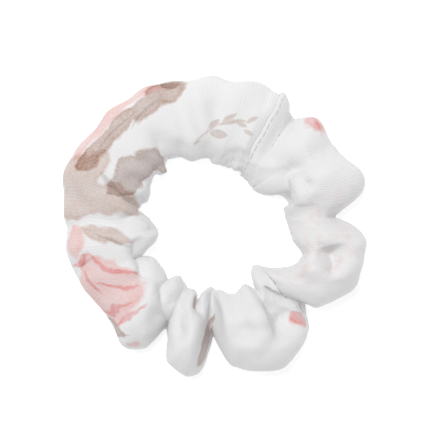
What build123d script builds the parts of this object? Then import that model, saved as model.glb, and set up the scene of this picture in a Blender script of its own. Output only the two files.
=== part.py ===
from build123d import *

# A fabric-covered hair tie: a gathered tube of rib-knit cloth round a sewn loop of flat elastic.
#
# The frame: +Z up, the tie lying flat on the plane Z = 0, and the origin under its middle.
# Angles go anticlockwise from +X, seen from above. Everything is in millimetres.
#
# The cloth is one strip. Its long edges are turned in and seamed, which makes it a tube. One end
# of the tube is turned in again to make a hem, and the other end is tucked into it. A row of
# stitches closes that joint. The elastic runs all the way round inside the tube.

import os
from math import asin, atan2, cos, pi, radians, sin, tan

# ---------------------------------------------------------------- driving dimensions
CLOTH = 0.7  # thickness of the knitted cloth
SINK = 0.9  # how far the round tube would pass below the table if it weren't flattened
SECTION_STEP = 6.0  # degrees between the cross-sections that the strip is lofted through

JOINT = 64.0  # angle of the folded edge of the closing joint's hem
HEM_SPAN = 6.5  # degrees of tube that the turned-in hem takes up
TUCK_SPAN = 11.5  # degrees that the other end reaches into the hem
TUCK_GAP = 0.25  # room between the hem and the tucked end
SHOULDER_SPAN = 3.0  # degrees in which that end narrows before it enters the hem
NECK = 0.4  # degrees of the narrow end that are left outside
JOINT_ROW = 61.8  # angle of the stitches that close the joint

ALLOWANCE = 4.2  # how far the long seam's two edges stand into the tube
TRIMMED = 0.3  # the same in the joint, where they are cut back
SEAM_GAP = 0.2  # between the two edges
SEAM_CLEAR = 2.0  # degrees from the tucked end to where the full allowance begins
SEAM_FADE = 1.5  # degrees in which it is cut back

ELASTIC_RADIUS = 30.5  # of the loop's middle line, which makes it 192 mm round
ELASTIC_WIDE = 5.0
ELASTIC_THICK = 1.0
ELASTIC_MIDDLE = 5.4  # height of its middle above the table
LAP_START = 88.0  # angle where the overlap of the elastic's two ends begins
LAP_SPAN = 19.0  # degrees of overlap
LAP_GAP = 0.1  # between the two layers
ELASTIC_SPANS = 76  # stretches that its spiral is drawn in

THREAD = 0.32  # diameter of the sewing thread
LOCK_GAP = 0.05  # from the middle of the cloth to where a needle or bobbin leg ends

JOINT_STITCH = 2.1  # length of a stitch across the closing joint
JOINT_PITCH = 2.6  # from one of them to the next
JOINT_STITCHES = 9  # over the top
UNDER_STITCHES = 5  # along the flat underside
SEAM_STITCH = 2.6  # length of a stitch along the tube's long seam
SEAM_STITCHES = 66
SEAM_INSET = 2.4  # from the tube's outside to that row
SEAM_END_CLEAR = 3.0  # degrees from the seam's ends to its first and last stitch
LAP_STITCH = 1.5  # length of a zigzag stitch on the elastic
LAP_STITCHES = 7
LAP_ZIGZAG = 50.0  # degrees that those stitches slant
LAP_END_CLEAR = 1.8  # degrees from the lap's ends to the first and last of them

# The gathers, anticlockwise from the closing joint: angle, hole radius, outer radius, height.
# Each row is the crown of a puff or the bottom of a dip, and the cloth runs smoothly between them.
GATHERS = [
    (64, 18.7, 46.4, 11.0),
    (80, 19.4, 45.9, 15.0),
    (94, 21.0, 47.2, 17.0),
    (110, 23.4, 48.2, 16.5),
    (124, 21.8, 49.4, 19.0),
    (138, 23.8, 49.0, 18.0),
    (155, 22.4, 50.8, 19.5),
    (170, 20.2, 48.6, 18.0),
    (181, 18.0, 46.4, 14.0),
    (191, 18.0, 47.5, 19.0),
    (206, 22.1, 46.0, 16.0),
    (220, 20.4, 44.9, 17.0),
    (235, 18.3, 46.4, 19.0),
    (245, 19.8, 40.0, 13.0),
    (256, 20.1, 47.8, 20.0),
    (272, 18.9, 39.8, 12.5),
    (293, 20.8, 49.2, 20.5),
    (307, 20.0, 47.0, 17.0),
    (319, 18.0, 38.0, 13.0),
    (338, 24.2, 48.0, 21.0),
    (354, 23.6, 47.6, 18.5),
    (364, 22.0, 40.6, 12.5),
    (379, 20.6, 49.6, 20.5),
    (396, 18.3, 47.0, 18.5),
    (408, 18.4, 45.2, 14.5),
]


# ---------------------------------------------------------------- the shape of the gathered tube
def gather_at(angle):
    """Hole radius, outer radius and height of the tube at an angle."""
    first = GATHERS[0]
    turned = (angle - first[0]) % 360 + first[0]
    rows = [*GATHERS, (first[0] + 360, *first[1:])]
    low, high = next(pair for pair in zip(rows, rows[1:]) if pair[0][0] <= turned <= pair[1][0])
    share = (turned - low[0]) / (high[0] - low[0])
    ease = (1 - cos(pi * share)) / 2
    return [a + ease * (b - a) for a, b in zip(low[1:], high[1:])]


def skin_at(angle, depth):
    """Half width, half height and middle height of the tube's oval, at a depth in the cloth."""
    hole, outer, height = gather_at(angle)
    return (outer - hole) / 2 - depth, (height + SINK) / 2 - depth, (height - SINK) / 2


def skin_point(angle, depth, turn):
    """A point of that oval: turn is 0 at its outer side and a right angle at its top."""
    half_wide, half_high, middle = skin_at(angle, depth)
    return half_wide * cos(turn), middle + half_high * sin(turn)


def skin_arc(angle, depth, start, end):
    """The stretch of that oval between two turns, at most a quarter of it."""
    half_wide, half_high, _ = skin_at(angle, depth)
    pull = 4 / 3 * tan((end - start) / 4)
    first, last = (skin_point(angle, depth, turn) for turn in (start, end))
    handles = []
    for (x, y), turn, way in ((first, start, pull), (last, end, -pull)):
        handles.append((x - way * half_wide * sin(turn), y + way * half_high * cos(turn)))
    return Bezier(first, *handles, last)


def across(angle, radius, height):
    """The plane that cuts the tube at an angle: its X points outwards and its Y up."""
    outwards = (cos(radians(angle)), sin(radians(angle)), 0)
    origin = (radius * outwards[0], radius * outwards[1], height)
    return Plane(origin=origin, x_dir=outwards, z_dir=(outwards[1], -outwards[0], 0))


def tube_plane(angle):
    """That plane, with its origin on the table under the middle of the tube."""
    hole, outer, _ = gather_at(angle)
    return across(angle, (hole + outer) / 2, 0)


def skin_lines(angle, depth, lip):
    """One skin of the cloth, cut across: over the top, flat on the table, up to the seam again.

    lip is how far the skin stays from the seam's middle. Returns its first and last points."""
    _, half_high, middle = skin_at(angle, depth)
    seam = asin(lip / half_high)
    floor = asin((middle - depth) / half_high)
    for start, end in ((seam, pi / 2), (pi / 2, pi), (pi, pi + floor)):
        last = skin_arc(angle, depth, start, end)
    rise = skin_arc(angle, depth, 2 * pi - floor, 2 * pi - seam)
    Line(last @ 1, rise @ 0)
    return skin_point(angle, depth, seam), skin_point(angle, depth, 2 * pi - seam)


def strip_section(angle, depth, thick, allowance):
    """The strip of cloth, cut across: it runs round the tube and both its edges turn in."""
    with BuildSketch(tube_plane(angle)) as section:
        with BuildLine():
            ends = skin_lines(angle, depth, SEAM_GAP / 2)
            inner_ends = skin_lines(angle, depth + thick, SEAM_GAP / 2 + thick)
            tip = inner_ends[0][0] - allowance
            for end, inner in zip(ends, inner_ends):
                Polyline(end, (tip, end[1]), (tip, inner[1]), inner)
        make_face()
    return section.sketch


# ---------------------------------------------------------------- how stitches are made
def stitch(length, depth):
    """One stitch along X: the thread lies on the plane Z = 0 and both its ends dip by depth."""
    half = length / 2
    with BuildPart() as one:
        with BuildLine(Plane.XZ) as path:
            Polyline((-half, -depth), (-half, THREAD / 2), (half, THREAD / 2), (half, -depth))
        with BuildSketch(Plane(path.line @ 0, z_dir=path.line % 0)):
            Circle(THREAD / 2)
        sweep(transition=Transition.RIGHT)
    return one.part


def joint_planes(depth, outwards):
    """Where the closing joint's stitches lie on a skin of the cloth: over the top, then below.

    outwards is 1 on the outer skin and -1 on the inner one."""
    cut = tube_plane(JOINT_ROW)
    half_wide, half_high, _ = skin_at(JOINT_ROW, depth)
    planes = []
    for i in range(JOINT_STITCHES):
        aside = (i - (JOINT_STITCHES - 1) / 2) * JOINT_PITCH
        turn = pi / 2 - asin(aside / half_wide)
        lean = atan2(-half_high * cos(turn), half_wide * sin(turn))
        along = cut.x_dir * cos(lean) + cut.y_dir * sin(lean)
        up = cut.y_dir * cos(lean) - cut.x_dir * sin(lean)
        spot = cut.from_local_coords(skin_point(JOINT_ROW, depth, turn))
        planes.append(Plane(spot, x_dir=along, z_dir=up * outwards))
    lift = depth + THREAD * (outwards > 0)
    for i in range(UNDER_STITCHES):
        aside = (i - (UNDER_STITCHES - 1) / 2) * JOINT_PITCH
        spot = cut.from_local_coords((aside, lift))
        planes.append(Plane(spot, x_dir=cut.x_dir, z_dir=cut.y_dir * -outwards))
    return planes


def seam_planes(side):
    """Where the long seam's stitches lie on its two turned-in edges: side is 1 above, -1 below."""
    first, last = shoulder + SEAM_END_CLEAR, seam_start - SEAM_END_CLEAR
    planes = []
    for i in range(SEAM_STITCHES):
        angle = first + (last - first) * i / (SEAM_STITCHES - 1)
        _, outer, _ = gather_at(angle)
        _, _, middle = skin_at(angle, 0)
        face = middle + side * (SEAM_GAP / 2 + CLOTH)
        cut = across(angle, outer - SEAM_INSET, face)
        planes.append(Plane(cut.origin, x_dir=cut.z_dir, z_dir=(0, 0, side)))
    return planes


def lap_planes(side):
    """Where the elastic's zigzag lies on its lap: side is 1 on the outer face, -1 on the inner."""
    first, last = LAP_START + LAP_END_CLEAR, LAP_START + LAP_SPAN - LAP_END_CLEAR
    planes = []
    for i in range(LAP_STITCHES):
        angle = first + (last - first) * i / (LAP_STITCHES - 1)
        face = strip_radius(angle + 360 * (side > 0)) + side * ELASTIC_THICK / 2
        cut = across(angle, face, ELASTIC_MIDDLE)
        slant = radians(LAP_ZIGZAG) * (-1) ** i
        along = cut.z_dir * cos(slant) + cut.y_dir * sin(slant)
        planes.append(Plane(cut.origin, x_dir=along, z_dir=cut.x_dir * side))
    return planes


# ---------------------------------------------------------------- cover: the strip of cloth
mouth = JOINT + 360
hem_end = mouth - HEM_SPAN
shoulder = JOINT + SHOULDER_SPAN
tuck_end = JOINT - TUCK_SPAN
tuck_depth = 2 * CLOTH + TUCK_GAP
seam_start = tuck_end + 360 - SEAM_CLEAR
steps = round((seam_start - shoulder) / SECTION_STEP)

# Each station: angle, depth of the strip's outer skin, its thickness, its seam allowance.
stations = [(mouth - HEM_SPAN * share, 0, 2 * CLOTH, TRIMMED) for share in (0, 0.5, 0.95)]
stations += [(angle, 0, CLOTH, TRIMMED) for angle in (hem_end, seam_start + SEAM_FADE)]
for step in range(steps + 1):
    stations.append((seam_start - (seam_start - shoulder) * step / steps, 0, CLOTH, ALLOWANCE))
for share in (0, 0.5, 1):
    stations.append((JOINT + NECK - (TUCK_SPAN + NECK) * share, tuck_depth, CLOTH, TRIMMED))

with BuildPart() as cover:
    loft([strip_section(*station) for station in stations], ruled=True)

cover.part.label = "cover"


# ---------------------------------------------------------------- elastic_band: a strip, lapped
def strip_radius(angle):
    """Radius of the elastic's middle line, which winds outwards so that its ends overlap."""
    return ELASTIC_RADIUS + (ELASTIC_THICK + LAP_GAP) * ((angle - LAP_START) / 360 - 0.5)


winding = (360 + LAP_SPAN) / ELASTIC_SPANS
turns = [LAP_START + winding * step for step in range(ELASTIC_SPANS + 1)]
faces = []
for side in (-ELASTIC_THICK / 2, ELASTIC_THICK / 2):
    reach = [(strip_radius(angle) + side, radians(angle)) for angle in turns]
    faces.append([(radius * cos(angle), radius * sin(angle)) for radius, angle in reach])

with BuildPart() as elastic_band:
    with BuildSketch(Plane.XY.offset(ELASTIC_MIDDLE - ELASTIC_WIDE / 2)):
        with BuildLine():
            Spline(faces[0])
            Spline(faces[1])
            Line(faces[0][0], faces[1][0])
            Line(faces[0][-1], faces[1][-1])
        make_face()
    extrude(amount=ELASTIC_WIDE)

elastic_band.part.label = "elastic_band"

# ---------------------------------------------------------------- the sewing threads
# Needle threads lie on one side of the cloth and bobbin threads on the other. They lock halfway.
layers = 3 * CLOTH + TUCK_GAP
closing_stitch = stitch(JOINT_STITCH, layers / 2 - LOCK_GAP)
seam_stitch = stitch(SEAM_STITCH, SEAM_GAP / 2 + CLOTH - LOCK_GAP)
lap_stitch = stitch(LAP_STITCH, ELASTIC_THICK + LAP_GAP / 2 - LOCK_GAP)

with BuildPart() as closing_seam_needle_thread:
    with Locations(*joint_planes(0, 1)):
        add(closing_stitch)

closing_seam_needle_thread.part.label = "closing_seam_needle_thread"

with BuildPart() as closing_seam_bobbin_thread:
    with Locations(*joint_planes(layers, -1)):
        add(closing_stitch)

closing_seam_bobbin_thread.part.label = "closing_seam_bobbin_thread"

with BuildPart() as tube_seam_needle_thread:
    with Locations(*seam_planes(1)):
        add(seam_stitch)

tube_seam_needle_thread.part.label = "tube_seam_needle_thread"

with BuildPart() as tube_seam_bobbin_thread:
    with Locations(*seam_planes(-1)):
        add(seam_stitch)

tube_seam_bobbin_thread.part.label = "tube_seam_bobbin_thread"

with BuildPart() as elastic_join_needle_thread:
    with Locations(*lap_planes(1)):
        add(lap_stitch)

elastic_join_needle_thread.part.label = "elastic_join_needle_thread"

with BuildPart() as elastic_join_bobbin_thread:
    with Locations(*lap_planes(-1)):
        add(lap_stitch)

elastic_join_bobbin_thread.part.label = "elastic_join_bobbin_thread"

# ---------------------------------------------------------------- write the parts
os.makedirs("parts", exist_ok=True)
export_step(cover.part, "parts/cover.step")
export_step(elastic_band.part, "parts/elastic_band.step")
export_step(closing_seam_needle_thread.part, "parts/closing_seam_needle_thread.step")
export_step(closing_seam_bobbin_thread.part, "parts/closing_seam_bobbin_thread.step")
export_step(tube_seam_needle_thread.part, "parts/tube_seam_needle_thread.step")
export_step(tube_seam_bobbin_thread.part, "parts/tube_seam_bobbin_thread.step")
export_step(elastic_join_needle_thread.part, "parts/elastic_join_needle_thread.step")
export_step(elastic_join_bobbin_thread.part, "parts/elastic_join_bobbin_thread.step")
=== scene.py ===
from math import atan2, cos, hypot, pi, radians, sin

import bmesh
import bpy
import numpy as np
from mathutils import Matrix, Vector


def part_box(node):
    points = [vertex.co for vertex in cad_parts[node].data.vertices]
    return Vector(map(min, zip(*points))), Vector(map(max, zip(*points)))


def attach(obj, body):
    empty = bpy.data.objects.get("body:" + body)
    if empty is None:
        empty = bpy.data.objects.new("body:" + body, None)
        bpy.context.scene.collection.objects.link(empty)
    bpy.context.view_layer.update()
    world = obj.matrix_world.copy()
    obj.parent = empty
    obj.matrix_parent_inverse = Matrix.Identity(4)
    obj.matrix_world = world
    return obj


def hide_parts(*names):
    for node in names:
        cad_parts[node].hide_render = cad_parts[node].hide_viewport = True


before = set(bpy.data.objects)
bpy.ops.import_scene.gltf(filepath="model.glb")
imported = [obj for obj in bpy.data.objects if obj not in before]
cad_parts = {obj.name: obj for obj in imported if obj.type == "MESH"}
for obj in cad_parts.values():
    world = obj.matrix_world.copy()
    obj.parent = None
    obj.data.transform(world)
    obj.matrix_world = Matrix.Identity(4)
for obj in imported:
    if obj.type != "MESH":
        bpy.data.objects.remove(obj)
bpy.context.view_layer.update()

# %% [markdown]
# A scrunchie is a long tube of cloth pushed together over a short loop of elastic. Everything in it
# is soft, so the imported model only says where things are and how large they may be. This lesson
# builds the cloth tube, its print, its seams and the elastic, all in metres and in the same frame:
# the tie lies flat on Z = 0 and Z goes up through the hole. Sizes of cloth are easiest to think of
# in millimetres, so they are written that way and scaled once.

MM = 0.001
COVER_LOW, COVER_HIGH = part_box("cover")
ELASTIC_LOW, ELASTIC_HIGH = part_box("elastic_band")
ELASTIC_MIDDLE = (ELASTIC_LOW.z + ELASTIC_HIGH.z) / 2 / MM  # its height above the table
ELASTIC_RADIUS = (ELASTIC_HIGH.x - ELASTIC_LOW.x) / 2 / MM - 0.6  # to the middle of its thickness
COVER_SIZE = (COVER_HIGH - COVER_LOW) / MM
print("its cover is", round(COVER_SIZE.x), "mm across and", round(COVER_SIZE.z), "mm high")


def smooth(x):
    """0 below 0, 1 above 1, and an even curve between."""
    x = np.clip(x, 0, 1)
    return x * x * (3 - 2 * x)


def fuller(wave, power):
    """A sine or cosine with fuller shoulders, as a power below 1 gives them."""
    return np.sign(wave) * np.abs(wave) ** power


def turned_off(angle):
    """The angle in degrees, between -180 and 180."""
    return (angle + 180) % 360 - 180


def wrapped(angle):
    """The angle in radians, between -pi and pi."""
    return np.angle(np.exp(1j * angle))


# %% [markdown]
# The first shape is a bare tube: at each angle round the ring it has a hole radius, an outer radius
# and a height. Gathered cloth makes lobes that meet in sharp notches, so each row below is either
# the crown of a lobe (round) or the bottom of a notch (sharp). A listed table is the honest way to
# say this, because no formula knows where this cloth happens to bunch.

# %% The lobes of the outer side, the inner side and the height
# Each row: angle in degrees, radius or height in mm, and 1 where the cloth dips sharply.
OUTER = [
    (5, 40.2, 1), (8, 43.6, 0), (11, 46.9, 0), (15, 48.8, 0), (20, 49.5, 0), (26, 48.3, 0),
    (32, 46.4, 0), (46, 46.6, 0), (53, 44.4, 1), (59, 46.6, 0), (73, 47.5, 0), (88, 47.3, 0),
    (106, 48.0, 0), (122, 49.3, 0), (143, 48.8, 0), (156, 50.6, 0), (168, 48.3, 0), (180, 46.1, 1),
    (188, 47.0, 0), (199, 45.9, 0), (214, 44.0, 0), (222, 44.1, 0), (235, 46.4, 0), (245, 36.6, 1),
    (259, 48.0, 0), (266, 43.6, 0), (270, 35.0, 1), (281, 45.2, 0), (290, 48.6, 0), (301, 48.8, 0),
    (312, 44.4, 0), (319, 37.4, 1), (325, 43.0, 0), (332, 46.8, 0), (340, 48.2, 0), (349, 48.4, 0),
    (358, 46.2, 0),
]
INNER = [
    (10, 22.7, 0), (19, 22.8, 0), (31, 18.8, 0), (50, 18.4, 0), (58, 18.9, 0), (76, 19.2, 0),
    (93, 20.6, 0), (110, 22.6, 0), (124, 23.9, 1), (132, 22.6, 0), (141, 24.6, 0), (154, 22.2, 0),
    (166, 23.2, 1), (180, 17.7, 0), (189, 17.7, 0), (202, 23.2, 1), (212, 20.4, 0), (221, 20.4, 0),
    (229, 21.8, 1), (233, 18.9, 0), (239, 18.5, 0), (247, 21.4, 1), (252, 20.2, 0), (258, 22.2, 1),
    (267, 18.8, 0), (277, 20.8, 0), (286, 21.8, 0), (299, 20.4, 0), (304, 23.6, 1), (311, 18.0, 0),
    (320, 18.2, 0), (328, 24.0, 0), (341, 28.6, 0), (352, 25.0, 0),
]
HEIGHT = [
    (5, 16.6, 0), (18, 20.0, 0), (36, 18.2, 0), (53, 15.4, 0), (58, 16.0, 0), (72, 16.2, 0),
    (94, 17.4, 0), (110, 16.8, 0), (126, 18.6, 0), (155, 19.4, 0), (174, 17.6, 0), (181, 16.4, 0),
    (190, 18.0, 0), (206, 17.0, 0), (222, 17.4, 0), (234, 18.6, 0), (245, 12.5, 1), (257, 19.0, 0),
    (269, 10.4, 1), (284, 18.8, 0), (298, 19.4, 0), (310, 16.5, 0), (319, 13.0, 1), (334, 20.4, 0),
    (352, 20.2, 0),
]
STEEP = 1.8  # how much steeper than a straight line the cloth leaves a notch


def lobes(rows, angles):
    """The table's value at each angle: an even curve over a crown, and steep on both sides of a notch."""
    knots, values, sharp = np.array(rows, float).T
    knots = np.concatenate([knots[-1:] - 360, knots, knots[:2] + 360])
    values = np.concatenate([values[-1:], values, values[:2]])
    sharp = np.concatenate([sharp[-1:], sharp, sharp[:2]])
    turned = (angles - knots[1]) % 360 + knots[1]
    low = np.clip(np.searchsorted(knots, turned, "right") - 1, 1, len(rows))
    span = knots[low + 1] - knots[low]
    rate = (values[low + 1] - values[low]) / span
    before = (values[low + 1] - values[low - 1]) / (knots[low + 1] - knots[low - 1])
    beyond = (values[low + 2] - values[low]) / (knots[low + 2] - knots[low])
    start = np.where(sharp[low] == 1, STEEP * rate, before) * span
    end = np.where(sharp[low + 1] == 1, STEEP * rate, beyond) * span
    s = (turned - knots[low]) / span
    bend = start * (s**3 - 2 * s**2 + s) + end * (s**3 - s**2)
    return values[low] + (3 * s**2 - 2 * s**3) * (values[low + 1] - values[low]) + bend


# The tube is open: one end is a hem at JOINT, and the other lies tucked inside it, so the rows run
# a little more than once round.
JOINT, TUCK_SPAN, SHOULDER = 63.0, 10.0, 7.0  # degrees
AROUND, ACROSS = 496, 96  # points round the ring, and round the tube
ring = np.linspace(JOINT - TUCK_SPAN, JOINT + 360, AROUND)
turn = np.arange(ACROSS) * 2 * pi / ACROSS
ANGLE, TURN = np.meshgrid(ring, turn, indexing="ij")
hole, outer, high = (lobes(rows, ANGLE) for rows in (INNER, OUTER, HEIGHT))
print("radii in mm: the hole from", hole.min().round(1), "and the outside to", outer.max().round(1))

# %% [markdown]
# Across the tube the cloth is an oval that stands on the table: round over the top and the outer
# side, pulled in towards the elastic on the hole's side, and pressed flat underneath. A plain
# ellipse looks like a hose, so the crown leans outwards and the belly is squashed.

# %% The bare tube
SINK = 2.6  # mm that the round tube would pass below the table
FULL_SIDE, FULL_TOP = 0.86, 0.95  # below 1, the oval's shoulders are fuller than an ellipse's
PRESSED = 2.5  # mm above the table, under which the belly is squashed flat
TUCK_DEPTH = 0.75  # mm that the tucked end is drawn in
HEM_RISE = 0.3  # mm that the hem stands out over it
TO_HEM = ANGLE - JOINT - 360  # degrees, negative before the hem's edge
tucked = TUCK_DEPTH * smooth((JOINT + SHOULDER - ANGLE) / SHOULDER)
tucked -= HEM_RISE * smooth((TO_HEM + 12) / 9)
half_wide, half_high = (outer - hole) / 2 - tucked, (high + SINK) / 2 - tucked
side, rise = fuller(np.cos(TURN), FULL_SIDE), fuller(np.sin(TURN), FULL_TOP)
radius = (outer + hole) / 2 + half_wide * side
wave = 0.3 * np.sin(4 * TURN + 0.6) + 0.2 * np.sin(11 * TURN)  # degrees, because no hem is ruled
bearing = np.radians(ANGLE + wave * smooth((TO_HEM + 8) / 8))
height = (high - SINK) / 2 + half_high * rise
height = np.where(height < PRESSED, PRESSED * np.exp((height - PRESSED) / PRESSED), height)
tube = np.stack([radius * np.cos(bearing), radius * np.sin(bearing), height], axis=-1)
print("bare tube:", AROUND * ACROSS, "points,", height.max().round(1), "mm high")

# %% [markdown]
# Now the gathers. Three kinds cover what bunched cloth does. A valley is a soft furrow between two
# rolls. A tuck is a fold in which one roll lies over the next, so the cloth runs forward, back
# underneath and forward again. Pleats are the many small furrows that fan out from the elastic.
# Each is drawn as a line over the ring, seen from above, because that is how a sewer would chalk it.


# %% How a furrow or a tuck is pressed into the cloth
def along_line(points, line):
    """For each point: its distance from the line, which side it is on, and how far along it is."""
    best = np.full(points.shape[:-1], 1e9)
    side_of, share = np.zeros_like(best), np.zeros_like(best)
    normal = np.zeros((*best.shape, 2))
    line = np.array(line, float)
    lengths = np.hypot(*np.diff(line, axis=0).T)
    run = np.concatenate([[0], np.cumsum(lengths)])
    for i in range(len(line) - 1):
        step = line[i + 1] - line[i]
        across = np.array([-step[1], step[0]]) / lengths[i]
        offset = points[..., :2] - line[i]
        t = np.clip(offset @ step / lengths[i] ** 2, 0, 1)
        gap = offset - t[..., None] * step
        distance = np.hypot(gap[..., 0], gap[..., 1])
        near = distance < best
        best = np.where(near, distance, best)
        side_of = np.where(near, offset @ across, side_of)
        share = np.where(near, (run[i] + t * lengths[i]) / run[-1], share)
        normal = np.where(near[..., None], across, normal)
    return best, side_of, share, normal


def fade_ends(share, start, end):
    """1 along the middle of a line, falling to 0 at the ends that fade over start and end."""
    first = smooth(share / start) if start else np.ones_like(share)
    last = smooth((1 - share) / end) if end else np.ones_like(share)
    return first * last


def lifted(points):
    """How much a fold reaches the cloth: fully on top, and hardly at all where it meets the table."""
    return smooth((points[..., 2] - 0.5) / 6)


BULGE = 0.3  # how high the cloth swells beside a furrow, as a share of its depth


def valley(points, line, deep, wide, ends, soft):
    """A furrow between two rolls: creased where soft is small, and an open hollow where it is 1."""
    distance, _, share, _ = along_line(points, line)
    d = np.sqrt((distance / wide) ** 2 + soft**2) - soft
    profile = -np.exp(-1.5 * d) + BULGE * np.exp(-((distance / wide - 2.1) ** 2))
    outwards = points - points.mean(axis=1, keepdims=True)
    outwards /= np.linalg.norm(outwards, axis=-1, keepdims=True)
    amount = deep * profile * fade_ends(share, *ends) * lifted(points)
    points += amount[..., None] * outwards


def tuck(points, line, over, drop, wide, ends):
    """A fold in which the cloth on the line's left lies over the cloth on its right."""
    distance, off, share, normal = along_line(points, line)
    near = np.exp(-((distance - np.abs(off)) ** 2) / 2)
    amount = fade_ends(share, *ends) * lifted(points) * near
    s = np.clip(off / wide, -1, 1)
    shift = -over * np.sin(pi * s) * (np.abs(s) < 1)
    points[..., :2] += (shift * amount)[..., None] * normal
    beyond = np.maximum(np.abs(off) - wide, 0)
    fall = drop * (0.5 * np.sin(pi / 2 * s)) * np.exp(-beyond / (2.5 * wide))
    points[..., 2] += fall * amount


# %% The tucks, where one roll of cloth lies over the next
# Each line runs so that the roll on top is on its left. Then: how far it lies over, how far the
# cloth drops, and the width of the fold, all in mm, and the shares over which its ends fade.
TUCKS = [
    # the tongue that reaches into the hole, over a thin fold, over the lobe below
    ([(12.6, -17.8), (17.2, -19.2), (21.2, -20.2), (24.0, -21.5), (27.2, -22.9), (31.0, -24.8)],
     1.25, 4.8, 2.9, (0.3, 0)),
    ([(15.0, -21.6), (18.4, -24.2), (22.0, -25.7), (25.4, -25.9), (29.0, -25.2)],
     0.35, 2.0, 1.9, (0.35, 0.1)),
    # the hood over the hollow at the right
    ([(29.6, -5.4), (34.0, -4.8), (38.0, -3.6), (43.0, -2.6)], 0.4, 2.6, 4.4, (0.4, 0.4)),
    # the ribbed roll at the bottom right, over its hollow
    ([(21.0, -37.6), (18.6, -32.8), (16.2, -26.8), (14.4, -22.0)], 1.1, 5.4, 3.0, (0.35, 0.3)),
    # the crease across the left side
    ([(-27.2, 0.2), (-32.2, 0.3), (-37.4, 1.0), (-41.6, 0.6), (-47.6, -0.6)],
     0.35, 2.0, 1.9, (0.3, 0.15)),
]
for line, over, drop, wide, ends in TUCKS:
    tuck(tube, line, over, drop, wide, ends)
print("tucks:", len(TUCKS))

# %% The valleys, where two rolls meet without overlapping
# Each row: the line, its depth and width in mm, the shares over which its ends fade, and how open
# it is: a crease near 0, a hollow near 1.
VALLEYS = [
    # beside the closing joint, and the puff next to it
    ([(27.4, 38.0), (23.6, 33.2), (20.4, 28.4), (17.2, 22.8), (15.6, 19.8)], 3.6, 3.0, (0, 0.1), 0.4),
    ([(18.6, 37.6), (15.6, 30.4), (12.2, 22.6)], 0.6, 1.6, (0.3, 0.1), 0.5),
    ([(20.4, 6.0), (20.2, 10.0), (21.2, 14.4), (24.2, 17.4), (28.4, 18.8), (33.6, 18.2)],
     4.6, 3.6, (0.05, 0.45), 0.35),
    ([(26.2, 11.0), (28.5, 13.4), (31.2, 15.6)], 2.2, 1.8, (0.4, 0.4), 0.35),
    ([(29.0, 22.0), (34.5, 24.6), (39.4, 25.0)], 1.3, 3.4, (0.4, 0.3), 0.8),
    ([(43.0, 4.4), (38.6, 4.2), (33.0, 5.6), (27.0, 4.0)], 3.0, 4.0, (0, 0.8), 0.5),
    ([(36.6, -5.6), (37.8, -10.4), (39.2, -17.0)], 4.8, 3.6, (0.15, 0.5), 0.6),
    ([(26.0, -4.6), (25.6, -8.0), (28.0, -13.0)], 1.0, 3.4, (0.4, 0.4), 0.8),
    ([(34.0, -19.6), (37.6, -19.0), (41.0, -16.0)], 0.9, 3.4, (0.4, 0.4), 0.9),
    # the lobe at the bottom right
    ([(18.0, -27.0), (20.4, -32.0), (23.0, -37.6)], 3.8, 3.8, (0.3, 0.35), 0.7),
    ([(12.2, -29.2), (11.2, -33.6), (10.4, -38.0)], 1.5, 4.2, (0.4, 0.4), 0.9),
    # the notch at the bottom, the narrow lobe and its pleats
    ([(-0.2, -39.5), (-1.7, -33.5), (-2.8, -27.2), (-4.4, -20.8)], 4.7, 2.9, (0, 0.1), 0.32),
    ([(-10.8, -37.4), (-10.4, -29.0), (-9.2, -24.0), (-8.4, -21.0)], 4.0, 2.6, (0.3, 0.2), 0.4),
    ([(-11.8, -19.0), (-13.0, -22.8), (-13.8, -27.0)], 1.3, 1.5, (0.3, 0.5), 0.6),
    ([(-14.2, -16.2), (-15.2, -22.1), (-16.0, -28.3), (-15.9, -36.6)], 4.2, 2.2, (0.15, 0), 0.3),
    ([(-16.8, -24.0), (-18.6, -29.4), (-19.4, -34.6)], 2.2, 3.0, (0.4, 0.3), 0.8),
    # up the left side
    ([(-24.0, -2.6), (-23.0, -5.4), (-22.4, -9.4)], 1.8, 1.9, (0.3, 0.1), 0.4),
    ([(-22.6, -8.8), (-22.4, -12.8), (-20.8, -17.4)], 1.8, 1.6, (0.1, 0.5), 0.3),
    ([(-21.8, -7.6), (-28.0, -5.8), (-36.0, -4.4)], 1.3, 3.2, (0.1, 0.5), 0.7),
    ([(-21.4, 4.4), (-26.0, 3.0), (-30.5, 2.2)], 1.9, 1.7, (0.05, 0.5), 0.3),
    ([(-20.8, 7.6), (-24.6, 8.0), (-29.5, 10.4)], 1.5, 1.9, (0.1, 0.6), 0.4),
    ([(-21.4, 12.6), (-25.0, 15.0), (-28.6, 17.4)], 1.3, 2.2, (0.1, 0.6), 0.5),
    ([(-13.2, 18.0), (-15.0, 22.8), (-17.6, 27.4), (-22.2, 33.0)], 2.8, 3.0, (0.05, 0.6), 0.5),
    ([(-16.2, 16.8), (-19.4, 20.2), (-24.0, 23.6)], 1.5, 1.9, (0.05, 0.6), 0.4),
    ([(-9.8, 19.4), (-9.8, 24.0), (-11.4, 29.4)], 1.6, 2.4, (0.05, 0.6), 0.6),
    ([(-1.2, 20.0), (-3.2, 24.0), (-4.4, 28.6)], 1.2, 2.6, (0.05, 0.6), 0.6),
    ([(6.6, 19.2), (6.4, 22.4), (5.2, 25.6)], 1.3, 2.4, (0.05, 0.6), 0.6),
    ([(-2.0, 41.0), (1.6, 36.0), (2.0, 31.0)], 0.8, 4.0, (0.4, 0.4), 1.0),
]
for line, deep, wide, ends, soft in VALLEYS:
    valley(tube, line, deep, wide, ends, soft)
print("valleys:", len(VALLEYS))

# %% [markdown]
# The elastic pulls the hole's side of the tube into many fine pleats. They are too many to chalk
# one by one, so a seeded generator places them: narrow furrows that start at the hole, reach up
# the inner wall and underneath, and die out before the crown. A second set sits below the long seam,
# where the cloth is squeezed between its seam and the table.

# %% The fine pleats on the hole's side and underneath
rng = np.random.default_rng(11)


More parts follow.
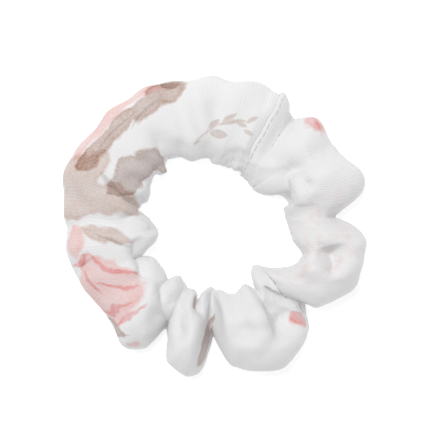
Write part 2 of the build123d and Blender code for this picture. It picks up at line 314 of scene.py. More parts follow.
def cloth_normals(points):
    """Unit normals of the grid, pointing out of the tube."""
    along = np.gradient(points, axis=0)
    around = np.roll(points, -1, axis=1) - np.roll(points, 1, axis=1)
    normal = np.cross(along, around)
    return normal / np.maximum(np.linalg.norm(normal, axis=-1, keepdims=True), 1e-9)


PLEATS, LOW_PLEATS = 46, 38  # towards the hole, and below the long seam
SEAM_LINE = 0.45  # mm by which the long seam draws the outer side in
reach = np.zeros_like(ANGLE)
for at in np.sort(rng.uniform(0, 360, PLEATS)):
    wide, deep = rng.uniform(1.0, 2.2), rng.uniform(0.08, 0.4)
    top, lean = rng.uniform(0.5, 1.15), rng.uniform(-6, 6)
    from_hole = np.abs(wrapped(TURN - pi))
    off = turned_off(ANGLE - at - lean * from_hole)
    reach -= deep * np.exp(-((off / wide) ** 2)) * np.exp(-((from_hole / top) ** 2))
    under = np.exp(-((wrapped(TURN + pi / 2) / 0.9) ** 2))
    reach -= 0.5 * deep * np.exp(-(((off + 4) / (1.4 * wide)) ** 2)) * under
for at in rng.uniform(0, 360, LOW_PLEATS):
    wide, deep = rng.uniform(1.2, 3.0), rng.uniform(0.2, 0.7)
    below = wrapped(TURN + rng.uniform(0.6, 1.1))
    off = turned_off(ANGLE - at - rng.uniform(-5, 5) * below)
    reach -= deep * np.exp(-((off / wide) ** 2) - (below / rng.uniform(0.35, 0.7)) ** 2)
reach -= SEAM_LINE * np.exp(-((wrapped(TURN) / 0.03) ** 2))
normals = cloth_normals(tube)
tube += reach[..., None] * normals
print("pleats:", PLEATS + LOW_PLEATS, "and the deepest is", round(float(-reach.min()), 2), "mm")

# %% [markdown]
# The chalked folds are still too even. A cloth simulation would crumple this soft knit like paper, so
# a few broad seeded waves are added instead, the kind that a hand leaves when it puts the tie down.
# They fade out where the elastic, the table or the closing joint holds the cloth.

# %% Soft unevenness
WAVES, WAVE_HIGH = 14, 0.13  # how many, and the height of each in mm
by_elastic = smooth((np.cos(TURN - pi) - 0.2) / 0.6)
by_joint = np.maximum(smooth((5 - np.abs(ANGLE - JOINT)) / 3), smooth((8 - np.abs(TO_HEM)) / 3))
by_table = smooth((2.5 - tube[..., 2]) / 2.0)
held = np.maximum(np.maximum(by_elastic, by_joint), by_table)
swell = np.zeros_like(ANGLE)
for _ in range(WAVES):
    along_ring, round_tube, phase = rng.integers(9, 30), rng.integers(-3, 4), rng.uniform(0, 2 * pi)
    swell += WAVE_HIGH * np.sin(along_ring * np.radians(ANGLE) + round_tube * TURN + phase)
tube += (swell * (1 - held))[..., None] * cloth_normals(tube)
CLEAR = 0.02  # mm between the cloth and the table
tube[..., 2] = np.maximum(tube[..., 2], CLEAR)
print("unevenness up to", round(float(np.abs(swell).max()), 2), "mm")

# %% [markdown]
# A single sheet of points is not cloth yet: real knit has a thickness and two sides. The inner side
# is the same grid moved in along its normals, and the two are joined round the open ends, which
# gives one closed skin. A Solidify modifier would thicken it too, but the hem, where the cloth is
# turned in and pressed, is thicker than the rest and has a rounded lip.


# %% The two sides of the cloth
CLOTH = 0.7  # mm
HEM_SPAN, HEM_TURN = 6.0, 0.3  # degrees, and how much thicker the pressed hem is
LIP = 0.6  # degrees over which the hem's edge is rounded
hem = smooth((TO_HEM + HEM_SPAN) / 0.8)
normals = cloth_normals(tube)
lip = (TO_HEM + LIP) / LIP
rounded = 0.55 * CLOTH * np.clip(lip, 0, 1) ** 2
outside = tube - rounded[..., None] * normals
inside = tube - ((1 + HEM_TURN * hem) * CLOTH - rounded)[..., None] * normals
inside[..., 2] = np.maximum(inside[..., 2], CLOTH * 0.8)

rows, columns = outside.shape[:2]
index = np.arange(rows * columns).reshape(rows, columns)
after = np.roll(index, -1, axis=1)
quads = np.stack([index[:-1], index[1:], after[1:], after[:-1]], axis=-1).reshape(-1, 4)
inner = quads[:, ::-1] + rows * columns
first = np.stack([index[0], after[0], after[0] + rows * columns, index[0] + rows * columns], -1)
last = np.stack([index[-1], index[-1] + rows * columns, after[-1] + rows * columns, after[-1]], -1)
points = np.concatenate([outside.reshape(-1, 3), inside.reshape(-1, 3)]) * MM
skin = bpy.data.meshes.new("gathered_cover")
skin.from_pydata(points.tolist(), [], np.concatenate([quads, inner, first, last]).tolist())
skin.validate()
bm = bmesh.new()
bm.from_mesh(skin)
bmesh.ops.recalc_face_normals(bm, faces=bm.faces)
bm.to_mesh(skin)
bm.free()
skin.shade_smooth()
cover = bpy.data.objects.new("gathered_cover", skin)
bpy.context.scene.collection.objects.link(cover)
print("cover:", len(skin.vertices), "points and", len(skin.polygons), "faces")

# %% [markdown]
# The print and the rib run along the strip as it was cut, not through space, so the mesh carries
# two coordinates in flat millimetres: how far along the strip a point is, and how far round it.
# Unwrapping would stretch at every fold, while the grid already knows both distances. They start
# underneath, at the belly, where the one cut in them can't be seen.

# %% Flat coordinates of the cloth
along = np.linalg.norm(np.diff(outside, axis=0), axis=-1).mean(axis=1)
around = np.linalg.norm(np.roll(outside, -1, axis=1) - outside, axis=-1).mean(axis=0)
BELLY = 3 * ACROSS // 4  # the column of points underneath
u = np.concatenate([[0], np.cumsum(along)])
v = np.concatenate([[0], np.cumsum(np.roll(around, -BELLY))])
flat = skin.uv_layers.new(name="flat")
corner = np.array([loop.vertex_index for loop in skin.loops]) % (rows * columns)
row, column = corner // columns, (corner - BELLY) % columns
counts = np.array([polygon.loop_total for polygon in skin.polygons])
owner = np.repeat(np.arange(len(counts)), counts)
wraps = np.zeros(len(counts), bool)
np.logical_or.at(wraps, owner[column == columns - 1], True)
column = np.where(wraps[owner] & (column == 0), columns, column)
coordinates = np.stack([u[row], v[column]], axis=-1)
flat.data.foreach_set("uv", coordinates.astype(np.float32).ravel())
STRIP_LONG, STRIP_WIDE = u[-1], v[-1]
print("the strip is", round(STRIP_LONG), "mm along the surface and", round(STRIP_WIDE), "mm round")

# %% [markdown]
# Rib knit is a row of fine raised columns, the wales, each under a millimetre wide. On this strip
# they run round the tube. They are too fine to model, so they are bump: a wave in the flat coordinate
# along the strip gives the columns, a second, finer one across them gives the rows of loops, and
# noise bends the columns, since knit is never ruled. The same wave paints a little shade into the
# grooves' colour, and a broad noise makes the white patchy at random.


# %% Small node helpers
class Nodes:
    """A material's node tree, with one short method for each kind of node used here."""

    def __init__(self, name):
        self.material = bpy.data.materials.new(name)
        self.material.use_nodes = True
        self.tree = self.material.node_tree
        self.shader = self.tree.nodes["Principled BSDF"]

    def add(self, kind, inputs=(), **values):
        node = self.tree.nodes.new(kind)
        for key, value in values.items():
            setattr(node, key, value)
        for socket, value in dict(inputs).items():
            if isinstance(value, bpy.types.NodeSocket):
                self.tree.links.new(value, node.inputs[socket])
            else:
                node.inputs[socket].default_value = value
        return node

    def flat_place(self):
        return self.add("ShaderNodeAttribute", attribute_name="flat").outputs["Vector"]

    def split(self, vector):
        node = self.add("ShaderNodeSeparateXYZ", {0: vector})
        return node.outputs[0], node.outputs[1]

    def math(self, operation, a, b=0.0, c=0.0):
        return self.add("ShaderNodeMath", {0: a, 1: b, 2: c}, operation=operation).outputs[0]

    def vector(self, operation, a, b):
        return self.add("ShaderNodeVectorMath", {0: a, 1: b}, operation=operation).outputs[0]

    def ramp(self, value, low, high, out_low=0.0, out_high=1.0):
        inputs = {"Value": value, "From Min": low, "From Max": high}
        inputs.update({"To Min": out_low, "To Max": out_high})
        node = self.add("ShaderNodeMapRange", inputs, interpolation_type="SMOOTHSTEP")
        return node.outputs["Result"]

    def noise(self, vector, scale, detail=2.0, rough=0.5):
        inputs = {"Vector": vector, "Scale": scale, "Detail": detail, "Roughness": rough}
        return self.add("ShaderNodeTexNoise", inputs).outputs["Fac"]

    def mix(self, share, a, b, how="MIX"):
        node = self.add("ShaderNodeMix", data_type="RGBA", blend_type=how)
        for socket, value in ((0, share), (6, a), (7, b)):
            if isinstance(value, bpy.types.NodeSocket):
                self.tree.links.new(value, node.inputs[socket])
            else:
                node.inputs[socket].default_value = value
        return node.outputs[2]

    def bump(self, height, distance, strength):
        inputs = {"Height": height, "Distance": distance, "Strength": strength}
        return self.add("ShaderNodeBump", inputs).outputs["Normal"]

    def finish(self, **inputs):
        for name, value in inputs.items():
            socket = self.shader.inputs[name.replace("_", " ")]
            if isinstance(value, bpy.types.NodeSocket):
                self.tree.links.new(value, socket)
            else:
                socket.default_value = value
        return self.material


# %% The rib knit
WALE = 0.9  # mm from one column of the rib to the next
COURSE = 0.6  # mm from one row of loops to the next
WANDER = 3.2  # mm by which the columns stray
# painted shade: the grooves' white is darker than the ridges', and GROOVE_SHADE darkens the grooves again
SHADED_GROOVE_WHITE, RIDGE_WHITE = (0.66, 0.66, 0.675, 1), (0.80, 0.795, 0.80, 1)
GROOVE_SHADE, NO_SHADE = (0.93, 0.93, 0.93, 1), (1, 1, 1, 1)
RIB_HIGH = 0.00004  # metres


def rib_knit(name, printed=None):
    """Fine rib knit in flat coordinates. printed adds the washes to the cloth's own colour."""
    n = Nodes(name)
    flat_place = n.add("ShaderNodeUVMap", uv_map="flat").outputs[0] if printed else n.flat_place()
    along_strip, round_tube = n.split(flat_place)
    bent = n.math("MULTIPLY_ADD", n.noise(flat_place, 0.12, 2), WANDER, along_strip)
    wale = n.math("SINE", n.math("MULTIPLY", bent, 2 * pi / WALE))
    course = n.math("SINE", n.math("MULTIPLY", round_tube, 2 * pi / COURSE))
    knit = n.math("ADD", wale, n.math("MULTIPLY", course, 0.25))
    fuzz = n.noise(flat_place, 2.6, 4, 0.65)
    height = n.math("MULTIPLY_ADD", fuzz, 1.1, knit)
    # painted shade in the rib's grooves, multiplied by a patchy tone that differs at random
    groove_painted_shade = n.ramp(wale, -1.0, 0.3, 0.955, 1.0)
    patchy = n.ramp(n.noise(flat_place, 0.035, 3), 0.3, 0.7, 0.985, 1.0)
    groove_shade_and_patchy_tone = n.math("MULTIPLY", groove_painted_shade, patchy)
    white = n.mix(groove_shade_and_patchy_tone, SHADED_GROOVE_WHITE, RIDGE_WHITE)
    base = printed(n, flat_place, white) if printed else white
    colour_with_painted_shade = n.mix(1.0, base, n.mix(groove_shade_and_patchy_tone, GROOVE_SHADE, NO_SHADE), "MULTIPLY")
    return n.finish(
        Base_Color=colour_with_painted_shade,
        Roughness=n.ramp(fuzz, 0.3, 0.7, 0.82, 0.95),
        Normal=n.bump(height, RIB_HIGH, 0.75),
        Sheen_Weight=0.08,
        Sheen_Roughness=0.5,
        Specular_IOR_Level=0.2,
    )


# %% [markdown]
# The print is loose watercolour: washes of taupe and blush with a few petals, leaves and a sprig, in
# no particular picture. Pigment settles at the rim of a wash, so each shape is a soft patch with a
# darker rim, noise shakes its outline, and the colours multiply the cloth rather than cover it. A
# patch is placed by pointing at the finished tie from above. It is then moved to the cloth's flat
# coordinates, so it follows every fold and is part of the cloth from any side.

# %% The pigments and the patches of the print
PALE, TAUPE, BROWN = (0.70, 0.52, 0.44, 1), (0.50, 0.29, 0.20, 1), (0.34, 0.15, 0.08, 1)
BLUSH, ROSE, UMBER = (0.95, 0.41, 0.37, 1), (0.86, 0.20, 0.20, 1), (0.14, 0.08, 0.06, 1)
# Each layer: pigment, how much of it, how soft its outline is in mm, and its patches. A patch has a
# place from above, half its length and half its width in mm, a slant in degrees from above, and 1
# where it is pointed like a leaf.
PRINT = [
    (PALE, 1.0, 0.7, [  # the wash on the left
        (-43.0, 16.6, 7.2, 6.0, 80, 0), (-41.4, 9.6, 8.0, 6.2, 20, 0), (-33.0, 9.2, 8.4, 4.6, 5, 0),
        (-26.4, 6.8, 5.8, 2.6, -12, 0), (-32.6, -2.8, 8.2, 2.4, -14, 1), (-36.6, 20.0, 5.0, 3.2, 55, 0),
    ]),
    (BLUSH, 0.75, 1.0, [  # the outer side of the long brush stroke, and the petals
        (-24.6, 41.6, 8.6, 3.0, 34, 0), (-33.6, 34.6, 8.4, 3.4, 45, 0), (-40.6, 26.4, 6.4, 3.0, 58, 0),
        (-43.4, -4.6, 5.6, 2.8, 84, 0), (-33.6, -15.6, 11.0, 5.4, -14, 1), (-35.0, -21.6, 9.6, 5.2, -38, 0),
        (-28.6, -21.6, 7.4, 5.2, 24, 0), (-24.6, -37.0, 2.4, 1.0, 10, 1), (33.4, 31.6, 2.6, 1.1, -35, 1),
        (26.6, -29.8, 1.6, 1.2, -20, 0),
    ]),
    (TAUPE, 1.0, 0.6, [  # the inner side of the brush stroke
        (-15.4, 42.6, 5.4, 4.0, 44, 0), (-21.6, 38.0, 6.6, 3.4, 40, 0), (-28.4, 32.4, 7.0, 3.2, 46, 0),
        (-34.4, 26.4, 6.0, 2.8, 46, 0), (-39.0, 21.6, 4.0, 2.6, 50, 0),
    ]),
    (TAUPE, 0.55, 0.3, [  # the sprig
        (-2.0, 29.8, 4.8, 0.4, 32, 1), (5.6, 32.5, 4.6, 0.36, 4, 1), (0.2, 32.4, 2.5, 0.85, 42, 1),
        (5.4, 34.8, 2.9, 1.0, 36, 1), (1.8, 29.0, 3.0, 1.1, -8, 1), (8.6, 31.9, 2.0, 0.7, -14, 1),
        (12.2, 33.8, 2.3, 0.85, 24, 1), (11.2, 30.2, 2.0, 0.75, -22, 1), (-5.0, 26.6, 1.4, 0.4, 40, 1),
    ]),
    (BROWN, 0.75, 0.5, [  # leaves beside the hole, the end of the stroke, and the flap of the notch
        (-24.6, 17.4, 9.6, 4.6, 30, 1), (-18.6, 20.4, 5.0, 3.2, -30, 0), (-28.4, 12.4, 5.6, 2.8, 20, 1),
        (-13.0, 45.4, 2.4, 1.4, 60, 0), (-1.8, -31.4, 5.6, 1.6, 72, 1), (-2.4, -37.6, 3.4, 1.9, 84, 0),
        (-30.4, -32.0, 4.2, 1.2, -42, 1), (-5.6, -24.0, 1.1, 0.6, 80, 0),
    ]),
    (ROSE, 0.7, 0.4, [  # streaks in the petals, and the small touches of colour
        (-41.8, -11.2, 3.2, 0.9, 36, 1), (-30.6, -13.4, 9.6, 0.8, -15, 1), (-30.0, -18.6, 7.6, 0.55, -4, 1),
        (-31.0, -25.6, 6.8, 0.8, 14, 1), (-27.0, -28.0, 5.0, 0.8, 32, 1), (-38.4, -18.0, 5.0, 0.6, -52, 1),
        (31.0, 33.4, 2.1, 1.3, -40, 0), (27.4, -28.8, 2.3, 1.7, -20, 0),
    ]),
    (UMBER, 0.4, 0.5, [  # the dry edge of a wash
        (-31.4, 13.0, 5.6, 1.0, -44, 1), (-26.2, 8.6, 3.6, 1.0, -30, 1), (-30.6, 30.2, 9.0, 0.5, 44, 1),
        (-22.0, 36.0, 6.0, 0.45, 48, 1), (-30.4, -4.6, 5.6, 0.4, -18, 1), (-40.4, -11.6, 2.6, 0.5, 36, 1),
    ]),
]
FAINT_BLUSH = (36.0, -5.0, 22.0, 12.0, 80, 0)  # a breath of pink over the right side
FINE = 0.42  # mm: a layer with a patch narrower than this keeps a steadier outline
print("print:", sum(len(layer[3]) for layer in PRINT), "patches in", len(PRINT), "layers")

# %% How a patch is laid on the cloth
facing_up = cloth_normals(outside)[..., 2] > 0.3
FAR = 99  # mm, so that cloth facing down is never the nearest
HIGHER_WINS = 0.02  # of two layers of cloth at one place, the one on top is meant
PROBE = 4.0  # mm: no longer step than this is taken to find how the cloth turns


def on_cloth(x, y):
    """Flat coordinates of the cloth that is seen from above at x, y."""
    gap = np.hypot(outside[..., 0] - x, outside[..., 1] - y) + np.where(facing_up, 0, FAR)
    i, j = np.unravel_index(np.argmin(gap - HIGHER_WINS * outside[..., 2]), gap.shape)
    return np.array([u[i], v[(j - BELLY) % columns]])


def half_span(x, y, half, slant):
    """Half the flat run between two points at either side of x, y, as length and slant."""
    probe = min(half, PROBE)
    step = np.array([cos(radians(slant)), sin(radians(slant))]) * probe
    run = (on_cloth(x + step[0], y + step[1]) - on_cloth(x - step[0], y - step[1])) / 2
    stretch = min(1.8, max(0.7, hypot(*run) / probe))
    return half * stretch, atan2(run[1], run[0])


def inside_patch(n, place, patch):
    """How far inside the patch's outline each point of the cloth is, in mm."""
    x, y, long, wide, slant, pointed = patch
    flat_long, turned = half_span(x, y, long, slant)
    flat_wide, _ = half_span(x, y, wide, slant + 90)
    frame_of = {"Vector": place, "Location": (*on_cloth(x, y), 0), "Rotation": (0, 0, turned)}
    frame_of["Scale"] = (flat_long, flat_wide, 1)
    local = n.add("ShaderNodeMapping", frame_of, vector_type="TEXTURE").outputs[0]
    if pointed:
        lengthwise, crosswise = n.split(local)
        bow = n.math("MULTIPLY", lengthwise, lengthwise)
        reach = n.math("ADD", bow, n.math("ABSOLUTE", crosswise))
    else:
        reach = n.add("ShaderNodeVectorMath", {0: local}, operation="LENGTH").outputs["Value"]
    return n.math("MULTIPLY", n.math("SUBTRACT", 1.0, reach), flat_wide)


# %% The washes, one over the other
SHAKE = 5.5  # mm, the range over which an outline is shaken


def watercolour(n, flat_place, white):
    """The cloth's white with the printed washes over it."""
    cloud = {"Vector": flat_place, "Scale": 0.16, "Detail": 4, "Roughness": 0.5}
    offset = n.vector(
        "SUBTRACT", n.add("ShaderNodeTexNoise", cloud).outputs["Color"], (0.5, 0.5, 0.5)
    )
    shift = n.vector("MULTIPLY", offset, (SHAKE, SHAKE, 0))
    loose = n.vector("ADD", flat_place, shift)
    tight = n.vector("ADD", flat_place, n.vector("MULTIPLY", shift, (0.25, 0.25, 0)))
    grain = n.ramp(n.noise(flat_place, 1.3, 5, 0.7), 0.25, 0.7, 0.62, 1.0)
    pool = n.ramp(n.noise(flat_place, 0.13, 3, 0.6), 0.3, 0.75, 0.7, 1.0)
    mottle = n.math("MULTIPLY", grain, pool)
    colour = white
    blush = n.ramp(inside_patch(n, loose, FAINT_BLUSH), -2, 8, 0, 0.22)
    cloudy = n.ramp(n.noise(flat_place, 0.2, 4, 0.7), 0.42, 0.72)
    colour = n.mix(n.math("MULTIPLY", blush, cloudy), colour, BLUSH, "MULTIPLY")
    for pigment, amount, soft, patches in PRINT:
        fine = min(patch[3] for patch in patches) < FINE
        inner = None
        for patch in patches:
            one = inside_patch(n, tight if fine else loose, patch)
            inner = one if inner is None else n.math("MAXIMUM", inner, one)
        body = n.ramp(inner, -soft, soft, 0, amount)
        rim = n.ramp(inner, 0.3, 2.2, 1.0, 0.82)
        share = n.math("MULTIPLY", n.math("MULTIPLY", body, rim), mottle)
        colour = n.mix(share, colour, pigment, "MULTIPLY")
    return colour


# %% The printed cover
cover.data.materials.append(rib_knit("printed_rib_knit", printed=watercolour))
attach(cover, "root")
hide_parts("cover")
print("printed cover:", len(cover.data.materials[0].node_tree.nodes), "nodes")

# %% [markdown]
# The elastic and the sewing threads are all swept shapes: a ring of points is carried along a line.
# A curve with a bevel would sweep them too, but it can't carry flat coordinates. One helper turns runs
# of such rings into a mesh, gives it those coordinates, lets it ride on the tie and lets it stand for
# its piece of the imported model.


# %% One helper for every swept piece
def swept_piece(name, runs, material, nodes=()):
    """A mesh of capped tubes. runs is a list of grids: along the line, round the ring, xyz in mm."""
    points, faces, flats, start = [], [], [], 0
    for rings in runs:
        index = start + np.arange(rings.shape[0] * rings.shape[1]).reshape(rings.shape[:2])
        after = np.roll(index, -1, axis=1)
        quads = np.stack([index[:-1], index[1:], after[1:], after[:-1]], axis=-1)
        faces += quads.reshape(-1, 4).tolist() + [index[0].tolist(), index[-1][::-1].tolist()]
        run = np.linalg.norm(np.diff(rings, axis=0), axis=-1).mean(axis=1)
        girth = np.linalg.norm(np.roll(rings, -1, axis=1) - rings, axis=-1).mean(axis=0)
        along_it, round_it = np.concatenate([[0], np.cumsum(run)]), np.cumsum(girth) - girth
        flat_grid = np.broadcast_arrays(along_it[:, None], round_it[None, :], 0.0)
        flats.append(np.stack(flat_grid, axis=-1).reshape(-1, 3))
        points.append(rings.reshape(-1, 3))
        start += index.size
    mesh = bpy.data.meshes.new(name)
    mesh.from_pydata((np.concatenate(points) * MM).tolist(), [], faces)
    made = bmesh.new()
    made.from_mesh(mesh)
    bmesh.ops.recalc_face_normals(made, faces=made.faces)
    made.to_mesh(mesh)
    made.free()
    mesh.attributes.new("flat", "FLOAT_VECTOR", "POINT").data.foreach_set(
        "vector", np.concatenate(flats).astype(np.float32).ravel()
    )
    mesh.shade_smooth()
    mesh.materials.append(material)
    piece = bpy.data.objects.new(name, mesh)
    bpy.context.scene.collection.objects.link(piece)
    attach(piece, "root")
    if nodes:
        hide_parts(*nodes)
    print(name, "runs:", len(runs), "faces:", len(mesh.polygons))
    return piece


# %% [markdown]
# Braided elastic is a row of rubber cords with yarn knitted round them. The cords are real ridges in
# the mesh, and the yarn's slanting loops, which are far finer, are a bump. The band's two ends lie
# over each other and are sewn together with a zigzag. The loop is much shorter than the cloth, which
# is what gathers the tie.


# %% The elastic band
YARN_LOOP = 0.8  # mm from one loop to the next
YARN_GROOVE_SHADE, YARN_TOP, YARN_WORN = (0.62, 0.61, 0.58, 1), (0.80, 0.79, 0.76, 1), (0.74, 0.72, 0.68, 1)


def braid(name):
    """Knitted yarn over the elastic's cords: small slanting loops, with painted shade in their grooves."""
    n = Nodes(name)
    place = n.flat_place()
    along_band, round_band = n.split(place)
    turns = n.math("MULTIPLY", along_band, 2 * pi / YARN_LOOP)
    loops = n.math("SINE", n.math("ADD", turns, n.math("MULTIPLY", round_band, 4.5)))
    fuzz = n.noise(place, 3.0, 3, 0.6)
    # painted shade: the yarn's colour is darker in the grooves between its loops
    colour = n.mix(n.ramp(loops, -1.0, 0.4), YARN_GROOVE_SHADE, YARN_TOP)
    worn = n.mix(n.ramp(n.noise(place, 0.08, 3), 0.4, 0.7, 0, 0.4), colour, YARN_WORN)
    return n.finish(
        Base_Color=worn,
        Roughness=n.ramp(fuzz, 0.3, 0.7, 0.6, 0.85),
        Normal=n.bump(n.math("ADD", loops, fuzz), 0.00008, 0.8),
    )


LAP_START, LAP_SPAN = 88, 19  # degrees
ELASTIC_THICK, ELASTIC_WIDE, CORD_PITCH = 1.0, 5.0, 0.7  # mm
SPIRAL = 1.1  # mm gained in a turn, so that the band's end lies over its start
WIDE_AT, EASED = 341, 1.6  # degrees and mm: the band is eased outwards where the hole is wide


def elastic_radius(wound):
    """The band's middle radius after so many degrees of winding."""
    off = turned_off(LAP_START + wound - WIDE_AT)
    return ELASTIC_RADIUS + SPIRAL * (wound / 360 - 0.5) + EASED * np.exp(-((off / 16) ** 2))


wound = np.linspace(0, 360 + LAP_SPAN, 620)[:, None]
phase = np.linspace(0, 2 * pi, 56, endpoint=False)[None, :] - pi / 2
up = ELASTIC_WIDE / 2 * fuller(np.sin(phase), 0.75)
thick = ELASTIC_THICK / 2 * fuller(np.cos(phase), 0.35)
thick = thick * (0.84 + 0.16 * np.cos(2 * pi * up / CORD_PITCH))
bearing = np.radians(LAP_START + wound)
reach = elastic_radius(wound) + thick
levels = ELASTIC_MIDDLE + up + np.zeros_like(reach)
band = np.stack([reach * np.cos(bearing), reach * np.sin(bearing), levels], axis=-1)
swept_piece("elastic", [band], braid("elastic_braid"), ["elastic_band"])

# %% [markdown]
# The long edges of the strip are sewn together, right sides facing, and the tube is then turned, so
# the two allowances stand up inside it along the outer side. They lie so close to each other that
# one flat strip of double thickness is enough. It has the same knit without the print, whose patches
# are placed on the outside of the cover.

# %% The allowances of the long seam
FIRST = int(np.searchsorted(ring, JOINT + SHOULDER + 2))
LAST = int(np.searchsorted(ring, JOINT + 350))
ALLOWANCE = 4.0  # mm
inward = -cloth_normals(tube)[FIRST:LAST:2, 0]
edge = inside[FIRST:LAST:2, 0] + 0.15 * inward
aside = inside[FIRST:LAST:2, 1] - inside[FIRST:LAST:2, -1]
aside /= np.linalg.norm(aside, axis=-1, keepdims=True)
fold = np.linspace(0, 2 * pi, 16, endpoint=False)
deep = ALLOWANCE / 2 * (1 - fuller(np.cos(fold), 0.5))
wide = CLOTH * fuller(np.sin(fold), 0.5)
strips = edge[:, None] + deep[None, :, None] * inward[:, None] + wide[None, :, None] * aside[:, None]
plain_knit = rib_knit("plain_rib_knit")
allowance = swept_piece("long_seam_allowance", [strips], plain_knit)

# %% [markdown]
# Each seam is a lockstitch, so it has two threads: one from the needle on one face of the cloth and
# one from the bobbin on the other. A stitch is a short arc of twisted thread whose two ends dive into
# the cloth. One helper bends a single stitch and another spaces stitches along a line, so all six
# threads come from the same few lines.


# %% Thread and stitches
THREAD = 0.32  # mm
PLY_GROOVE_SHADE, PLY_TOP = (0.60, 0.59, 0.57, 1), (0.84, 0.83, 0.81, 1)


def twisted_thread(name):
    """Three-ply sewing thread: a slanting twist in the bump, and painted shade in the colour along the
    twist's grooves.
    """
    n = Nodes(name)
    place = n.flat_place()
    along_thread, round_thread = n.split(place)
    turns = n.math("MULTIPLY", along_thread, 12.0)
    twist = n.math("SINE", n.math("ADD", turns, n.math("MULTIPLY", round_thread, 9.0)))
    fluff = n.noise(place, 8.0, 3, 0.6)
    return n.finish(
        # painted shade: the thread's colour is darker in the grooves of its twist
        Base_Color=n.mix(n.ramp(twist, -1, 0.5), PLY_GROOVE_SHADE, PLY_TOP),
        Roughness=n.ramp(fluff, 0.3, 0.7, 0.4, 0.6),
        Normal=n.bump(n.math("ADD", twist, fluff), 0.00004, 0.8),
    )


def stitch(centre, along, up, length):
    """One stitch's rings: it lies on the cloth at centre and both its ends dip below it."""
    along, up = along / np.linalg.norm(along), up / np.linalg.norm(up)
    aside = np.cross(along, up)
    s = np.linspace(-1, 1, 11)[:, None, None]
    around_it = np.linspace(0, 2 * pi, 8, endpoint=False)[None, :, None]
    arc = centre + along * s * length / 2 + up * (0.3 * THREAD - 0.42 * s**6)
    taper = THREAD / 2 * (1 - 0.35 * s**8)
    return arc + taper * (np.cos(around_it) * up + np.sin(around_it) * aside)


def stitches_along(line, ups, pitch, length, closed):
    """Evenly spaced stitches along a line of points, each with its own way up."""
    tangents = np.gradient(line, axis=0)
    if closed:
        tangents[0] = tangents[-1] = line[1] - line[-2]
    steps = np.linalg.norm(np.diff(line, axis=0), axis=-1)
    run = np.concatenate([[0], np.cumsum(steps)])
    count = int(run[-1] / pitch)
    runs = []
    for at in (np.arange(count) + 0.5) * run[-1] / count:
        centre, tangent, up = (
            np.array([np.interp(at, run, values[:, k]) for k in range(3)])
            for values in (line, tangents, ups)
        )
        runs.append(stitch(centre, tangent, up, length))
    return runs


def hoop(grid, row):
    """A row of the grid as a closed line."""
    return np.concatenate([grid[row], grid[row][:1]])


# %% The closing seam and the long seam
FROM_HEM = 1.9  # degrees from the hem's edge to its stitches
thread = twisted_thread("sewing_thread")
hem_row = int(np.searchsorted(ring, JOINT + 360 - FROM_HEM))
under_row = int(np.searchsorted(ring, JOINT - FROM_HEM))
outwards = cloth_normals(tube)
middle = edge + ALLOWANCE / 2 * inward
# Each row: the thread, its line and its way up, the stitches' pitch and length in mm, and whether
# the line is a closed hoop.
STITCHES = [
    ("closing_seam_needle_thread", hoop(outside, hem_row), hoop(outwards, hem_row), 2.6, 2.1, True),
    ("closing_seam_bobbin_thread", hoop(inside, under_row), -hoop(outwards, under_row), 2.6, 2.1, True),
    ("tube_seam_needle_thread", middle + CLOTH * aside, aside, 3.0, 2.6, False),
    ("tube_seam_bobbin_thread", middle - CLOTH * aside, -aside, 3.0, 2.6, False),
]
for name, line, ups, pitch, length, closed in STITCHES:
    runs = stitches_along(line, ups, pitch, length, closed)
    swept_piece(name, runs, thread, [name])

# %% The zigzag over the elastic's lap
ZIGZAGS, FROM_END = 7, 1.8  # how many stitches, and degrees from the lap's ends
SLANT, ZIGZAG_LONG = 50, 1.5  # degrees and mm
# Each row: the thread, the winding that it lies on in degrees, and 1 outside the lap or -1 inside.
ZIGZAG_THREADS = [("elastic_join_needle_thread", 360, 1), ("elastic_join_bobbin_thread", 0, -1)]
for name, winding, way in ZIGZAG_THREADS:
    runs = []
    for i, at in enumerate(np.linspace(FROM_END, LAP_SPAN - FROM_END, ZIGZAGS)):
        bearing = radians(LAP_START + at)
        outward = np.array([cos(bearing), sin(bearing), 0])
        tangent = np.array([-sin(bearing), cos(bearing), 0])
        slant = radians(SLANT) * (-1) ** i
        reach = elastic_radius(winding + at) + way * ELASTIC_THICK / 2
        spot = outward * reach + [0, 0, ELASTIC_MIDDLE]
        heading = tangent * cos(slant) + np.array([0, 0, sin(slant)])
        runs.append(stitch(spot, heading, outward * way, ZIGZAG_LONG))
    swept_piece(name, runs, thread, [name])

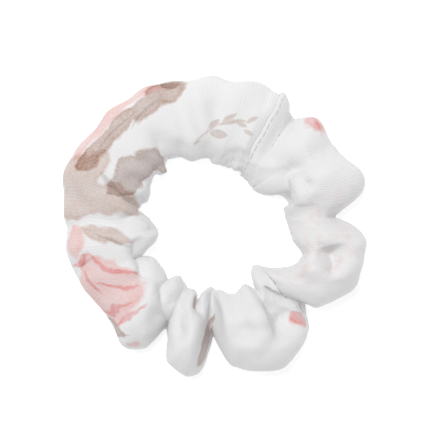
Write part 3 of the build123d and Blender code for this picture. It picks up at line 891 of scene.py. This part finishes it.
# %% [markdown]
# The tie lies on a plain white table under one broad lamp, with a weaker one from the other side.
# Darker shadows would come from the lamps alone, so the white room around it lights it too, and the
# table has a little light of its own, which keeps the shadow under the tie soft and pale.

# %% Table and light
bpy.ops.mesh.primitive_plane_add(size=6)
floor = bpy.context.object
floor.name = "table"
WHITE = (1, 1, 1, 1)
TABLE_GLOW, ROOM_GLOW = 0.38, 0.47
paper = Nodes("white_table").finish(
    Base_Color=(0.95, 0.95, 0.95, 1),
    Roughness=0.9,
    Emission_Color=WHITE,
    Emission_Strength=TABLE_GLOW,
)
floor.data.materials.append(paper)

world = bpy.data.worlds.new("soft_box")
bpy.context.scene.world = world
world.use_nodes = True
world.node_tree.nodes["Background"].inputs[0].default_value = WHITE
world.node_tree.nodes["Background"].inputs[1].default_value = ROOM_GLOW

# Each row: the lamp, its place and its side in metres, and its power in watts.
LIGHTS = [("key", (-0.22, 0.36, 1.0), 0.5, 7.1), ("fill", (0.8, -0.5, 0.7), 0.7, 1.0)]
for name, place, size, power in LIGHTS:
    lamp = bpy.data.lights.new(name, "AREA")
    lamp.size, lamp.energy = size, power
    stand = bpy.data.objects.new(name, lamp)
    bpy.context.scene.collection.objects.link(stand)
    stand.location = place
    stand.rotation_euler = (-stand.location).to_track_quat("-Z", "Y").to_euler()
print("lamps:", len(LIGHTS))

# %% [markdown]
# The camera looks straight down from a metre up, so that the lobes keep their true outline. Its lens
# is set from the width that it should see at half the tie's height.

# %% The camera
CAMERA_HEIGHT, VIEW_WIDE, HALF_HIGH = 1.0, 0.1355, 0.01  # metres
SENSOR = 36  # mm
lens = bpy.data.cameras.new("camera")
camera = bpy.data.objects.new("camera", lens)
bpy.context.scene.collection.objects.link(camera)
camera.location = (0.0006, 0.0039, CAMERA_HEIGHT)
lens.sensor_width = SENSOR
lens.lens = SENSOR * (CAMERA_HEIGHT - HALF_HIGH) / VIEW_WIDE
bpy.context.scene.camera = camera
bpy.context.scene.view_settings.view_transform = "Standard"
print("the camera sees", VIEW_WIDE / MM, "mm")

# %% Bring the scene up to date
bpy.context.view_layer.update()
